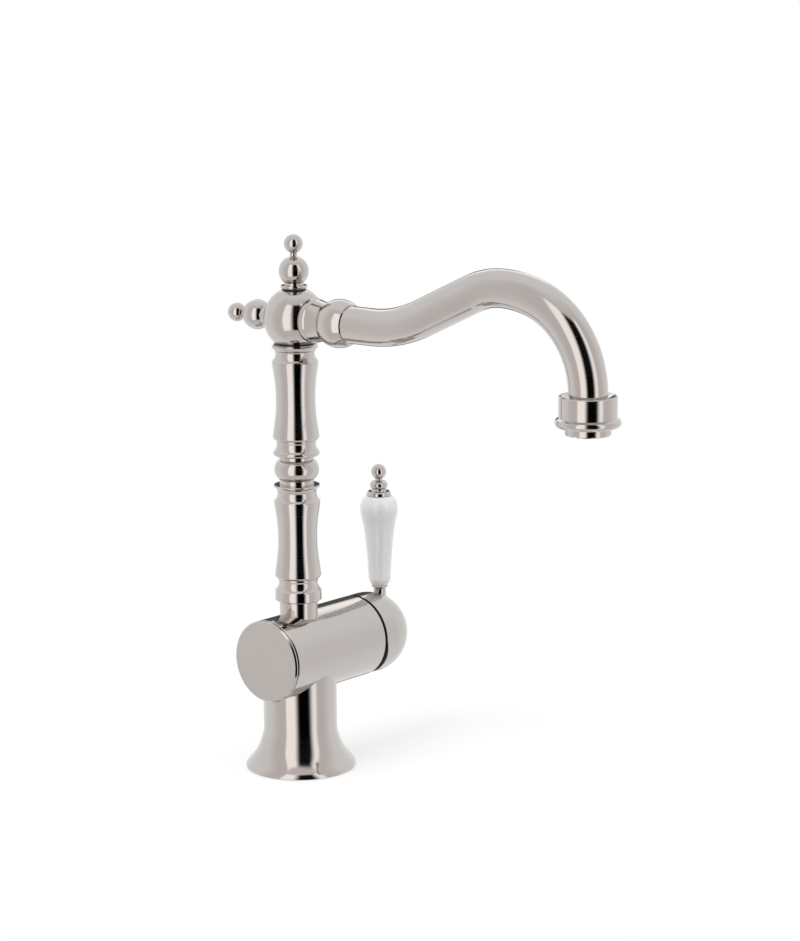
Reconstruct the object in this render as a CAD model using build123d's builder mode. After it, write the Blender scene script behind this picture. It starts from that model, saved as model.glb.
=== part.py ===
from build123d import *
from math import asin, degrees
import os

os.makedirs("parts", exist_ok=True)

# A single-lever basin mixer. Millimetres. The deck is the plane z = 0, the column rises on
# the Z axis, the spout points along -Y and the lever stands over the +X end of the barrel.

# Clearances shared by all pieces
running_gap = 0.05      # radial gap of a fit that turns or slides
assembly_gap = 0.1      # radial gap of a piece pushed into a bore
moving_gap = 0.3        # gap between faces that pass each other

# Pedestal
base_radius = 32.25
base_rim_height = 1.5
base_rim_bevel = 0.5
flare_height = 24.5
pedestal_neck_radius = 21.5
flare_shares = ((0.165, 0.109), (0.393, 0.239), (0.59, 0.37), (0.767, 0.543), (0.905, 0.739))
pedestal_wall = 3.85
well_mouth_depth = 2.0
deck_seal_width = 1.6
deck_seal_height = 1.5

# Barrel that carries the column and holds the cartridge
barrel_radius = 24.0
barrel_height = 68.5
barrel_left_reach = 26.7
barrel_edge_bevel = 0.35
boss_radius = 17.4
boss_level = 28.0
inlet_radius = 4.5
inlet_depth = 12.0
inlet_spacing = 15.0
inlet_setback = 4.0
stud_radius = 3.4
stud_depth = 14.0
stud_offset = 9.5
waterway_radius = 3.0

# End cap opposite the lever
cap_thickness = 1.45
cap_bevel = 0.8
cap_groove_width = 1.0
cap_groove_depth = 2.4
cap_gasket_inset = 0.7
cap_spigot_radius = 15.0
cap_spigot_length = 7.0
cap_seal_wire = 1.5

# Column: a core tube with turned sleeves stacked on it
core_radius = 8.0
core_wall = 2.0
core_seat_depth = 14.5
column_tube_radius = 11.0
column_tube_rise = 31.9
column_neck_radius = 11.3
collar_radius = 13.52
collar_height = 12.2
collar_bevel = 0.5
moulding_drop = 6.5
moulding_edge = 0.6
moulding_throat = 1.9
baluster_height = 52.8
baluster_rim_radius = 13.45
baluster_waist_radius = 11.38
baluster_foot_length = 1.0
baluster_foot_round = 1.9
waist_shares = ((0.12, 0.67), (0.25, 0.28), (0.5, 0), (0.75, 0.28), (0.88, 0.67))
cup_height = 6.3
cup_rim_radius = 13.48
cup_rise = 2.6
cup_lip = 0.4
bead_height = 12.0
bead_radius = 12.95
bead_end_radius = 9.9
foot_ring_height = 10.5
foot_ring_neck = 1.9
foot_ring_round = 1.5
head_ring_height = 3.8
head_ring_radius = 13.35

# Swivel at the top of the column
swivel_radius = 8.3
swivel_bore_radius = 5.0
swivel_length = 12.5
swivel_flange_radius = 9.5
swivel_flange_height = 1.2
swivel_tail_length = 12.0
swivel_stop_angle = 75.0
slide_washer_height = 0.6
slide_washer_radius = 10.4
swivel_seal_wire = 1.2
swivel_seal_inset = 3.3
swivel_seal_top_inset = 1.9
swivel_slot_width = 3.2
swivel_slot_depth = 1.7
swivel_slot_level = 6.9

# Hub of the spout
hub_half_width = 17.7
hub_half_height = 18.1
hub_drop = 14.0
hub_top_rise = 16.6
hub_front_reach = 13.0
hub_rear_reach = 15.2
hub_chamber_radius = 7.0
spout_bore_radius = 6.0

# Finials on the hub
finial_washer_radius = 6.8
finial_washer_height = 0.9
finial_seat_radius = 7.75
finial_seat_height = {"top": 1.8, "rear": 2.5}
finial_root_radius = 5.4
finial_large_radius = 8.6
finial_large_offset = {"top": 7.95, "rear": 10.3}
finial_small_radius = 5.38
finial_spacing = {"top": 15.65, "rear": 16.1}
finial_link_radius = 2.03
finial_link_flare = 0.5
finial_stud_radius = 2.5
finial_stud_length = 5.0

# Spout root
neck_ring_radius = 12.9
neck_ring_root_radius = 12.15
neck_ring_cove_radius = 11.5
neck_ring_seam = 0.5
neck_ring_lip = 4.6
neck_ring_length = 12.8
neck_spigot_radius = 8.5
neck_spigot_length = 4.0
root_nut_length = 17.4
root_nut_radius = 13.85
root_nut_end_radius = 11.2

# Spout tube
tube_radius = 10.6
tube_wall = 1.4
tube_socket = 6.0
root_straight = 15.1
rise_radius = 86.6
rise_angle = 24.7
ramp_length = 40.55
crown_entry_radius = 45.2
crown_entry_angle = 23.5
crown_top_radius = 72.8
crown_top_angle = 17.6
crown_exit_radius = 51.3
drop_straight = 6.4

# Spout end and aerator
end_collar_radius = 15.65
end_collar_height = 11.7
end_collar_bevel = 0.4
end_collar_recess = 1.9
end_collar_lip = 1.2
end_ring_radius = 17.7
end_ring_height = 5.0
end_spigot_radius = 13.4
aerator_radius = 12.4
aerator_drop = 4.2
aerator_thread_radius = 11.7
aerator_thread_length = 7.0
aerator_bore_radius = 9.8
aerator_screen_height = 2.4
aerator_seal_height = 1.2
aerator_lip = 0.8
aerator_bevel = 0.5
aerator_slot_width = 3.0
screen_hole_radius = 0.75
screen_ring_count = 3
screen_ring_pitch = 2.6

# Cartridge in the barrel
cartridge_radius = 17.5
cartridge_inset = 3.0
nut_recess = 9.65
cartridge_wall = 1.5
cartridge_length = 29.3
cartridge_front = 3.0
cartridge_neck_radius = 13.0
cartridge_neck_length = 6.3
base_plate_height = 4.0
fixed_disc_height = 4.5
moving_disc_height = 3.45
carrier_height = 5.2
disc_radius = 11.4
disc_face_gap = 0.05
inlet_port = (6.2, 4.6)
inlet_port_radius = 2.0
outlet_port_drop = 4.4
outlet_port_radius = 2.6
mixing_radius = 6.2
mixing_drop = 2.7
mixing_depth = 1.8
port_seal_wire = 1.5
port_seal_squeeze = 0.4
port_seal_margin = 0.2
rotor_stem_radius = 10.5
rotor_stem_out = 1.0
rotor_slot_height = 14.4
mixing_travel = 45.0
stop_key_height = 2.2
stop_key_length = 6.0
stop_key_half_angle = 8.0
stop_key_play = 1.0
carrier_half_width = 10.0
nut_radius = 19.5
nut_notch_width = 5.0
nut_notch_depth = 2.5

# Spindle, its pin, and the lever
pivot_out = 3.7
pivot_pin_radius = 2.0
spindle_thickness = 6.0
spindle_height = 8.0
spindle_ball_radius = 2.6
spindle_arm = 17.4
spindle_square_out = 5.6
spindle_grip = 10.5
spindle_tip_height = 4.0
spindle_tip_length = 2.4

# Dome
dome_gap = 1.8
dome_straight = 9.15
dome_length = 24.2
dome_wall = 2.6
dome_relief_angle = 11.5
dome_boss_radius = 8.0
dome_post_radius = 6.0
dome_boss_setback = 2.25
dome_screw_inset = 6.0
dome_screw_radius = 2.5
dome_screw_length = 4.6

# Handle
handle_setback = 21.05
ferrule_radius = 3.75
ferrule_seat_depth = 7.0
ferrule_rise = 5.5
ferrule_flange_radius = 4.85
ferrule_flange_height = 1.5
rod_radius = 2.0
rod_seat_depth = 4.4
rod_thread_reach = 4.0
handle_washer_radius = 4.25
handle_washer_height = 0.4
porcelain_height = 55.0
porcelain_foot_radius = 6.35
porcelain_waist_radius = 6.75
porcelain_belly_radius = 11.3
porcelain_shoulder_radius = 10.15
porcelain_top_radius = 7.5
porcelain_bore_gap = 0.3
dish_radius = 7.3
dish_height = 2.9
dish_edge = 0.4
knob_waist_radius = 4.3
knob_bead_radius = 5.35
knob_bead_rise = 3.7
knob_bead_height = 4.5
knob_neck_radius = 2.3
knob_ball_radius = 4.5
knob_ball_rise = 11.6

# Planes and axes. On each turning plane the first coordinate runs along the axis of the
# piece, and on the column plane the first coordinate is the radius.
hub_bottom = barrel_height + column_tube_rise + collar_height + 2 * baluster_height
hub_bottom += cup_height + bead_height + foot_ring_height + head_ring_height
column_top = hub_bottom
hub_bottom += slide_washer_height
spout_height = hub_bottom + hub_drop
barrel_plane = Plane(origin=(0, 0, barrel_height), x_dir=(1, 0, 0), z_dir=(0, -1, 0))
barrel_axis = Axis((0, 0, barrel_height), (1, 0, 0))
spout_plane = Plane(origin=(0, 0, spout_height), x_dir=(0, -1, 0), z_dir=(-1, 0, 0))
spout_axis = Axis((0, 0, spout_height), (0, -1, 0))
cartridge_seat = core_radius + cartridge_inset
cartridge_end = cartridge_seat + cartridge_length
barrel_right_reach = cartridge_end + nut_recess
dome_start = barrel_right_reach + dome_gap
handle_reach = dome_start + handle_setback
handle_plane = Plane(origin=(handle_reach, 0, 0), x_dir=(1, 0, 0), z_dir=(0, -1, 0))
handle_axis = Axis((handle_reach, 0, 0), (0, 0, 1))


def across_barrel(reach):
    """Plane square to the barrel at this reach: its x is +Y and its y is +Z."""
    return Plane(origin=(reach, 0, barrel_height), x_dir=(0, 1, 0), z_dir=(1, 0, 0))


def across_spout(reach):
    """Plane square to the spout root at this reach, facing out along -Y."""
    return Plane(origin=(0, -reach, spout_height), x_dir=(1, 0, 0), z_dir=(0, -1, 0))


def turn(points, plane, axis, mode=Mode.ADD):
    """Turn a closed outline of straight sides round an axis."""
    with BuildSketch(plane) as profile:
        with BuildLine():
            Polyline(*points, close=True)
        make_face()
    revolve(profile.sketch, axis=axis, mode=mode)


def rod(plane, radius, length, mode=Mode.ADD):
    """Round bar or hole that starts on a plane and runs along its normal."""
    with BuildSketch(plane) as profile:
        Circle(radius)
    extrude(profile.sketch, amount=length, mode=mode)


def seal_ring(plane, axis, along, mean_radius, wire):
    """Rubber ring of round section."""
    with BuildSketch(plane) as profile:
        with Locations((along, mean_radius)):
            Circle(wire / 2)
    revolve(profile.sketch, axis=axis)


def save(part, name):
    part.label = name
    export_step(part, f"parts/{name}.step")


# Pedestal: a flared foot, hollow for the supply hoses, cut to sit against the barrel
flare_points = []
for inward, upward in flare_shares:
    flare_radius = base_radius - inward * (base_radius - pedestal_neck_radius)
    flare_points.append((flare_radius, base_rim_height + upward * (flare_height - base_rim_height)))
bore_radius = boss_radius + assembly_gap
with BuildPart() as pedestal:
    with BuildSketch(Plane.XZ):
        with BuildLine():
            Line((0, 0), (base_radius - base_rim_bevel, 0))
            Line((base_radius - base_rim_bevel, 0), (base_radius, base_rim_bevel))
            Line((base_radius, base_rim_bevel), (base_radius, base_rim_height))
            Spline(
                (base_radius, base_rim_height),
                *flare_points,
                (pedestal_neck_radius, flare_height),
                tangents=[(-0.45, 1), (0, 1)],
            )
            Line((pedestal_neck_radius, flare_height), (pedestal_neck_radius, barrel_height))
            Line((pedestal_neck_radius, barrel_height), (0, barrel_height))
            Line((0, barrel_height), (0, 0))
        make_face()
    revolve(axis=Axis.Z)
    well = [
        (0, 0),
        (base_radius - pedestal_wall, 0),
        (base_radius - pedestal_wall, well_mouth_depth),
        (bore_radius, flare_height - pedestal_wall),
        (bore_radius, barrel_height),
        (0, barrel_height),
    ]
    turn(well, Plane.XZ, Axis.Z, Mode.SUBTRACT)
    rod(across_barrel(-2 * barrel_radius), barrel_radius, 4 * barrel_radius, Mode.SUBTRACT)
    seal_outer = base_radius - (pedestal_wall - deck_seal_width) / 2
    seal_inner = seal_outer - deck_seal_width
    with BuildSketch(Plane.XY):
        Circle(seal_outer)
        Circle(seal_inner, mode=Mode.SUBTRACT)
    extrude(amount=deck_seal_height, mode=Mode.SUBTRACT)
save(pedestal.part, "pedestal")

with BuildPart() as deck_seal:
    with BuildSketch(Plane.XY):
        Circle(seal_outer)
        Circle(seal_inner, mode=Mode.SUBTRACT)
    extrude(amount=deck_seal_height)
save(deck_seal.part, "deck_seal")

# Barrel body with its boss, cartridge pocket, end socket and waterways
pocket_radius = cartridge_radius + assembly_gap
thread_radius = nut_radius + running_gap
core_seat = barrel_height + barrel_radius - core_seat_depth
outlet_level = barrel_height - outlet_port_drop
inlet_level = barrel_height + inlet_port[1]
with BuildPart() as barrel_body:
    barrel_outline = [
        (-barrel_left_reach, 0),
        (-barrel_left_reach, barrel_radius - barrel_edge_bevel),
        (-barrel_left_reach + barrel_edge_bevel, barrel_radius),
        (barrel_right_reach - barrel_edge_bevel, barrel_radius),
        (barrel_right_reach, barrel_radius - barrel_edge_bevel),
        (barrel_right_reach, 0),
    ]
    turn(barrel_outline, barrel_plane, barrel_axis)
    rod(Plane.XY.offset(boss_level), boss_radius, barrel_height - boss_level)
    rod(across_barrel(cartridge_seat), pocket_radius, barrel_right_reach, Mode.SUBTRACT)
    rod(across_barrel(cartridge_end), thread_radius, barrel_right_reach, Mode.SUBTRACT)
    socket_plane = across_barrel(-barrel_left_reach)
    rod(socket_plane, cap_spigot_radius + running_gap, cap_spigot_length + moving_gap, Mode.SUBTRACT)
    rod(Plane.XY.offset(core_seat), core_radius, 2 * barrel_radius, Mode.SUBTRACT)
    rod(Plane.XY.offset(outlet_level), waterway_radius, barrel_radius, Mode.SUBTRACT)
    with BuildSketch(across_barrel(0)):
        with Locations((0, -outlet_port_drop)):
            Circle(outlet_port_radius)
    extrude(amount=cartridge_seat, mode=Mode.SUBTRACT)
    with BuildSketch(across_barrel(-inlet_setback)):
        with Locations((inlet_port[0], inlet_port[1]), (-inlet_port[0], inlet_port[1])):
            Circle(inlet_port_radius)
    extrude(amount=cartridge_seat + inlet_setback, mode=Mode.SUBTRACT)
    inlet_places = [(-inlet_setback, side * inlet_spacing / 2) for side in (-1, 1)]
    with BuildSketch(Plane.XY.offset(boss_level)):
        with Locations(*inlet_places):
            Circle(inlet_radius)
    extrude(amount=inlet_depth, mode=Mode.SUBTRACT)
    with BuildSketch(Plane.XY.offset(boss_level)):
        with Locations(*inlet_places):
            Circle(waterway_radius)
    extrude(amount=inlet_level - boss_level, mode=Mode.SUBTRACT)
    with BuildSketch(Plane.XY.offset(boss_level)):
        with Locations((stud_offset, 0)):
            Circle(stud_radius)
    extrude(amount=stud_depth, mode=Mode.SUBTRACT)
save(barrel_body.part, "barrel_body")

# End cap: a bright disc, a dark gasket in the groove behind it and a spigot with a seal
cap_back = -barrel_left_reach - cap_groove_width
cap_face = cap_back - cap_thickness
cap_seal_place = -barrel_left_reach + cap_spigot_length / 2
cap_seal_floor = cap_spigot_radius - cap_seal_wire + running_gap
with BuildPart() as end_cap:
    cap_outline = [
        (cap_face, 0),
        (cap_face, barrel_radius - cap_bevel),
        (cap_face + cap_bevel, barrel_radius),
        (cap_back, barrel_radius),
        (cap_back, barrel_radius - cap_groove_depth),
        (-barrel_left_reach, barrel_radius - cap_groove_depth),
        (-barrel_left_reach, cap_spigot_radius),
        (cap_seal_place - cap_seal_wire / 2, cap_spigot_radius),
        (cap_seal_place - cap_seal_wire / 2, cap_seal_floor),
        (cap_seal_place + cap_seal_wire / 2, cap_seal_floor),
        (cap_seal_place + cap_seal_wire / 2, cap_spigot_radius),
        (-barrel_left_reach + cap_spigot_length, cap_spigot_radius),
        (-barrel_left_reach + cap_spigot_length, 0),
    ]
    turn(cap_outline, barrel_plane, barrel_axis)
save(end_cap.part, "end_cap")

with BuildPart() as cap_gasket:
    with BuildSketch(across_barrel(cap_back)):
        Circle(barrel_radius - cap_gasket_inset)
        Circle(barrel_radius - cap_groove_depth, mode=Mode.SUBTRACT)
    extrude(amount=cap_groove_width)
save(cap_gasket.part, "cap_gasket")

with BuildPart() as end_cap_seal:
    cap_seal_radius = cap_seal_floor + cap_seal_wire / 2
    seal_ring(barrel_plane, barrel_axis, cap_seal_place, cap_seal_radius, cap_seal_wire)
save(end_cap_seal.part, "end_cap_seal")

# Column core: the water tube that every sleeve is threaded over
core_bore = core_radius - core_wall
with BuildPart() as column_core:
    with BuildSketch(Plane.XY.offset(core_seat)):
        Circle(core_radius)
        Circle(core_bore, mode=Mode.SUBTRACT)
    extrude(amount=column_top - core_seat)
save(column_core.part, "column_core")

# Sleeves of the column, from the barrel up
sleeve_bore = core_radius + running_gap
collar_level = barrel_height + column_tube_rise
with BuildPart() as column_foot:
    with BuildSketch(Plane.XY.offset(barrel_height)):
        Circle(column_tube_radius)
        Circle(sleeve_bore, mode=Mode.SUBTRACT)
    extrude(amount=column_tube_rise)
    rod(across_barrel(-2 * barrel_radius), barrel_radius, 4 * barrel_radius, Mode.SUBTRACT)
save(column_foot.part, "column_foot")



def top_moulding(top, rim_radius):
    """Outline of a rim and the cove above it, drawn up to the top of a sleeve and in to its bore."""
    rim_edge = (rim_radius - moulding_edge / 2, top - moulding_drop + moulding_edge)
    Line((rim_radius, top - moulding_drop), rim_edge)
    ThreePointArc(
        rim_edge,
        (column_neck_radius, top - moulding_throat),
        (column_neck_radius + 0.3, top),
    )
    Line((column_neck_radius + 0.3, top), (sleeve_bore, top))


baluster_level = {"lower_baluster": collar_level + collar_height}
with BuildPart() as column_collar:
    top = baluster_level["lower_baluster"]
    with BuildSketch(Plane.XZ):
        with BuildLine():
            Polyline(
                (sleeve_bore, top),
                (sleeve_bore, collar_level),
                (collar_radius - collar_bevel, collar_level),
                (collar_radius, collar_level + collar_bevel),
                (collar_radius, top - moulding_drop),
            )
            top_moulding(top, collar_radius)
        make_face()
    revolve(axis=Axis.Z)
save(column_collar.part, "column_collar")

# Balusters: a rounded foot, a long waist and the moulding on top
cup_level = baluster_level["lower_baluster"] + baluster_height
bead_level = cup_level + cup_height
foot_ring_level = bead_level + bead_height
baluster_level["upper_baluster"] = foot_ring_level + foot_ring_height
for name, foot in baluster_level.items():
    head = foot + baluster_height
    round_start = foot + baluster_foot_length
    round_radius = baluster_rim_radius - baluster_foot_round
    waist_start = round_start + baluster_foot_round
    waist_end = head - moulding_drop
    waist_points = []
    for along, outward in waist_shares:
        radius = baluster_waist_radius + outward * (baluster_rim_radius - baluster_waist_radius)
        waist_points.append((radius, waist_start + along * (waist_end - waist_start)))
    with BuildPart() as baluster:
        with BuildSketch(Plane.XZ):
            with BuildLine():
                Polyline(
                    (sleeve_bore, head),
                    (sleeve_bore, foot),
                    (round_radius, foot),
                    (round_radius, round_start),
                )
                RadiusArc(
                    (round_radius, round_start),
                    (baluster_rim_radius, waist_start),
                    -baluster_foot_round,
                )
                Spline(
                    (baluster_rim_radius, waist_start),
                    *waist_points,
                    (baluster_rim_radius, waist_end),
                )
                top_moulding(head, baluster_rim_radius)
            make_face()
        revolve(axis=Axis.Z)
    save(baluster.part, name)

# Cup ring: a cove out to a thin lip, then a nearly flat top in to the neck below the bead
with BuildPart() as cup_ring:
    lip_low = cup_level + cup_rise
    lip_high = lip_low + cup_lip
    with BuildSketch(Plane.XZ):
        with BuildLine():
            ThreePointArc(
                (column_neck_radius + 0.2, cup_level),
                (column_neck_radius + 0.95, cup_level + 0.5 * cup_rise),
                (cup_rim_radius, lip_low),
            )
            Polyline(
                (cup_rim_radius, lip_low),
                (cup_rim_radius, lip_high),
                (cup_rim_radius - cup_lip, lip_high + cup_lip),
                (bead_end_radius, lip_high + 1.2 * cup_lip),
                (bead_end_radius, bead_level),
                (sleeve_bore, bead_level),
                (sleeve_bore, cup_level),
                (column_neck_radius + 0.2, cup_level),
            )
        make_face()
    revolve(axis=Axis.Z)
save(cup_ring.part, "cup_ring")

with BuildPart() as middle_bead:
    with BuildSketch(Plane.XZ):
        with BuildLine():
            Polyline(
                (bead_end_radius, foot_ring_level),
                (sleeve_bore, foot_ring_level),
                (sleeve_bore, bead_level),
                (bead_end_radius, bead_level),
            )
            ThreePointArc(
                (bead_end_radius, bead_level),
                (bead_radius, bead_level + bead_height / 2),
                (bead_end_radius, foot_ring_level),
            )
        make_face()
    revolve(axis=Axis.Z)
save(middle_bead.part, "middle_bead")

# Foot ring under the upper baluster: a neck, a rounded lower edge and the moulding
with BuildPart() as foot_ring:
    top = baluster_level["upper_baluster"]
    neck_end = foot_ring_level + foot_ring_neck
    rim_low = neck_end + foot_ring_round
    with BuildSketch(Plane.XZ):
        with BuildLine():
            Polyline(
                (sleeve_bore, top),
                (sleeve_bore, foot_ring_level),
                (bead_end_radius, foot_ring_level),
                (bead_end_radius, neck_end),
                (baluster_rim_radius - foot_ring_round, neck_end + 0.2),
            )
            ThreePointArc(
                (baluster_rim_radius - foot_ring_round, neck_end + 0.2),
                (baluster_rim_radius - 0.3 * foot_ring_round, neck_end + 0.5 * foot_ring_round),
                (baluster_rim_radius, rim_low),
            )
            Line((baluster_rim_radius, rim_low), (baluster_rim_radius, top - moulding_drop))
            top_moulding(top, baluster_rim_radius)
        make_face()
    revolve(axis=Axis.Z)
save(foot_ring.part, "foot_ring")

with BuildPart() as head_ring:
    level = column_top - head_ring_height
    with BuildSketch(Plane.XZ):
        with BuildLine():
            ThreePointArc(
                (column_neck_radius + 0.2, level),
                (head_ring_radius - 0.5, level + 0.37 * head_ring_height),
                (head_ring_radius, level + 0.7 * head_ring_height),
            )
            Polyline(
                (head_ring_radius, level + 0.7 * head_ring_height),
                (head_ring_radius - 0.2, level + 0.8 * head_ring_height),
                (column_neck_radius + 0.8, column_top),
                (sleeve_bore, column_top),
                (sleeve_bore, level),
                (column_neck_radius + 0.2, level),
            )
        make_face()
    revolve(axis=Axis.Z)
save(head_ring.part, "head_ring")

# Swivel spigot: screwed into the core, grooved for two seals and for the stop screw
spigot_top = hub_bottom + swivel_length
seal_levels = {
    "swivel_seal_lower": hub_bottom + swivel_seal_inset,
    "swivel_seal_upper": spigot_top - swivel_seal_top_inset,
}
seal_floor = swivel_radius + running_gap - swivel_seal_wire
slot_level = hub_bottom + swivel_slot_level
stop_tip_radius = swivel_slot_width / 2 - moving_gap
stop_tip_start = swivel_radius - swivel_slot_depth + moving_gap
slot_half_angle = swivel_stop_angle + degrees(asin((stop_tip_radius + running_gap) / stop_tip_start))
with BuildPart() as swivel_spigot:
    spigot_outline = [
        (swivel_bore_radius, column_top),
        (swivel_flange_radius, column_top),
        (swivel_flange_radius, column_top + swivel_flange_height),
        (swivel_radius, column_top + swivel_flange_height),
        (swivel_radius, spigot_top),
        (swivel_bore_radius, spigot_top),
    ]
    turn(spigot_outline, Plane.XZ, Axis.Z)
    tail_plane = Plane.XY.offset(column_top - swivel_tail_length)
    rod(tail_plane, core_bore, swivel_tail_length)
    rod(tail_plane, swivel_bore_radius, swivel_tail_length, Mode.SUBTRACT)
    for level in seal_levels.values():
        with BuildSketch(Plane.XY.offset(level - swivel_seal_wire / 2 - running_gap)):
            Circle(swivel_radius + 1)
            Circle(seal_floor, mode=Mode.SUBTRACT)
        extrude(amount=swivel_seal_wire + 2 * running_gap, mode=Mode.SUBTRACT)
    with BuildSketch(Plane.XZ.rotated((0, 0, 90 - slot_half_angle))):
        with Locations((swivel_radius, slot_level)):
            Rectangle(2 * swivel_slot_depth, swivel_slot_width)
    revolve(axis=Axis.Z, revolution_arc=2 * slot_half_angle, mode=Mode.SUBTRACT)
save(swivel_spigot.part, "swivel_spigot")

for name, level in seal_levels.items():
    with BuildPart() as swivel_seal:
        with BuildSketch(Plane.XZ):
            with Locations((seal_floor + swivel_seal_wire / 2, level)):
                Circle(swivel_seal_wire / 2)
        revolve(axis=Axis.Z)
    save(swivel_seal.part, name)

with BuildPart() as slide_washer:
    with BuildSketch(Plane.XY.offset(column_top)):
        Circle(slide_washer_radius)
        Circle(swivel_flange_radius + running_gap, mode=Mode.SUBTRACT)
    extrude(amount=slide_washer_height - running_gap)
save(slide_washer.part, "slide_washer")

# Hub of the spout: a ball, flat where the finials, the spout and the column meet it
stop_screw_radius = stop_tip_radius + 0.7
stop_screw_end = hub_half_width * 0.84
with BuildPart() as spout_hub:
    with BuildSketch(Plane.XZ):
        with BuildLine():
            EllipticalCenterArc(
                (0, spout_height), hub_half_width, hub_half_height, start_angle=-90, arc_size=180
            )
            Line((0, spout_height + hub_half_height), (0, spout_height - hub_half_height))
        make_face()
    revolve(axis=Axis.Z)
    split(bisect_by=Plane.XY.offset(hub_bottom), keep=Keep.TOP)
    split(bisect_by=Plane.XY.offset(spout_height + hub_top_rise), keep=Keep.BOTTOM)
    split(bisect_by=across_spout(hub_front_reach), keep=Keep.BOTTOM)
    split(bisect_by=across_spout(-hub_rear_reach), keep=Keep.TOP)
    flange_room = swivel_flange_height - slide_washer_height + moving_gap
    flange_plane = Plane.XY.offset(hub_bottom)
    rod(flange_plane, swivel_flange_radius + moving_gap, flange_room, Mode.SUBTRACT)
    rod(flange_plane, swivel_radius + running_gap, swivel_length + moving_gap, Mode.SUBTRACT)
    rod(flange_plane, hub_chamber_radius, hub_drop + hub_chamber_radius, Mode.SUBTRACT)
    rod(across_spout(0), spout_bore_radius, hub_half_width, Mode.SUBTRACT)
    neck_seat = hub_front_reach - neck_spigot_length
    rod(across_spout(neck_seat), neck_spigot_radius + assembly_gap, hub_half_width, Mode.SUBTRACT)
    stud_hole = finial_stud_length + moving_gap
    top_stud_plane = Plane.XY.offset(spout_height + hub_top_rise - stud_hole)
    rod(top_stud_plane, finial_stud_radius, stud_hole, Mode.SUBTRACT)
    rod(across_spout(-hub_rear_reach), finial_stud_radius, stud_hole, Mode.SUBTRACT)
    stop_plane = Plane(origin=(0, 0, slot_level), x_dir=(1, 0, 0), z_dir=(0, 1, 0))
    rod(stop_plane, stop_screw_radius, hub_half_width, Mode.SUBTRACT)
save(spout_hub.part, "spout_hub")

# Stop screw: its tip runs in the spigot's slot, which holds the spout down and stops its turn
with BuildPart() as stop_screw:
    tip_plane = stop_plane.offset(stop_tip_start)
    body_plane = stop_plane.offset(swivel_radius + moving_gap)
    rod(tip_plane, stop_tip_radius, swivel_slot_depth)
    rod(body_plane, stop_screw_radius, stop_screw_end - swivel_radius - moving_gap)
    with BuildSketch(stop_plane.offset(stop_screw_end)):
        RegularPolygon(stop_screw_radius / 2, 6)
    extrude(amount=-stop_screw_radius, mode=Mode.SUBTRACT)
save(stop_screw.part, "stop_screw")

# Finials: each is a dark washer, a seat ring and a turned pair of balls with a stud behind it
finial_planes = {
    "top": Plane(origin=(0, 0, spout_height + hub_top_rise), x_dir=(0, 0, 1), z_dir=(0, -1, 0)),
    "rear": Plane(origin=(0, hub_rear_reach, spout_height), x_dir=(0, 1, 0), z_dir=(1, 0, 0)),
}
for place, plane in finial_planes.items():
    axis = Axis(plane.origin, plane.x_dir)
    stud_bore = finial_stud_radius + assembly_gap
    seat_low = finial_washer_height
    seat_top = seat_low + finial_seat_height[place]
    with BuildPart() as finial_washer:
        washer_outline = [
            (0, stud_bore),
            (0, finial_washer_radius),
            (seat_low, finial_washer_radius),
            (seat_low, stud_bore),
        ]
        turn(washer_outline, plane, axis)
    save(finial_washer.part, f"finial_washer_{place}")

    with BuildPart() as finial_seat:
        with BuildSketch(plane):
            with BuildLine():
                Polyline(
                    (seat_top - 0.15, finial_seat_radius - 0.2),
                    (seat_top, finial_seat_radius - 0.4),
                    (seat_top, stud_bore),
                    (seat_low, stud_bore),
                    (seat_low, finial_seat_radius - 0.45),
                )
                ThreePointArc(
                    (seat_low, finial_seat_radius - 0.45),
                    (0.5 * (seat_low + seat_top), finial_seat_radius),
                    (seat_top - 0.15, finial_seat_radius - 0.2),
                )
            make_face()
        revolve(axis=axis)
    save(finial_seat.part, f"finial_seat_{place}")

    large = seat_top + finial_large_offset[place]
    small = large + finial_spacing[place]
    flare_radius = finial_link_radius + finial_link_flare
    root_end = large - (finial_large_radius**2 - finial_root_radius**2) ** 0.5
    link_start = large + (finial_large_radius**2 - flare_radius**2) ** 0.5
    link_end = small - (finial_small_radius**2 - flare_radius**2) ** 0.5
    with BuildPart() as finial:
        with BuildSketch(plane):
            with BuildLine():
                Polyline(
                    (small + finial_small_radius, 0),
                    (-finial_stud_length, 0),
                    (-finial_stud_length, finial_stud_radius),
                    (seat_top, finial_stud_radius),
                    (seat_top, finial_root_radius),
                    (root_end, finial_root_radius),
                )
                ThreePointArc(
                    (root_end, finial_root_radius),
                    (large, finial_large_radius),
                    (link_start, flare_radius),
                )
                Polyline(
                    (link_start, flare_radius),
                    (link_start + finial_link_flare, finial_link_radius),
                    (link_end - finial_link_flare, finial_link_radius),
                    (link_end, flare_radius),
                )
                ThreePointArc(
                    (link_end, flare_radius),
                    (small, finial_small_radius),
                    (small + finial_small_radius, 0),
                )
            make_face()
        revolve(axis=axis)
    save(finial.part, f"finial_{place}")

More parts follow.
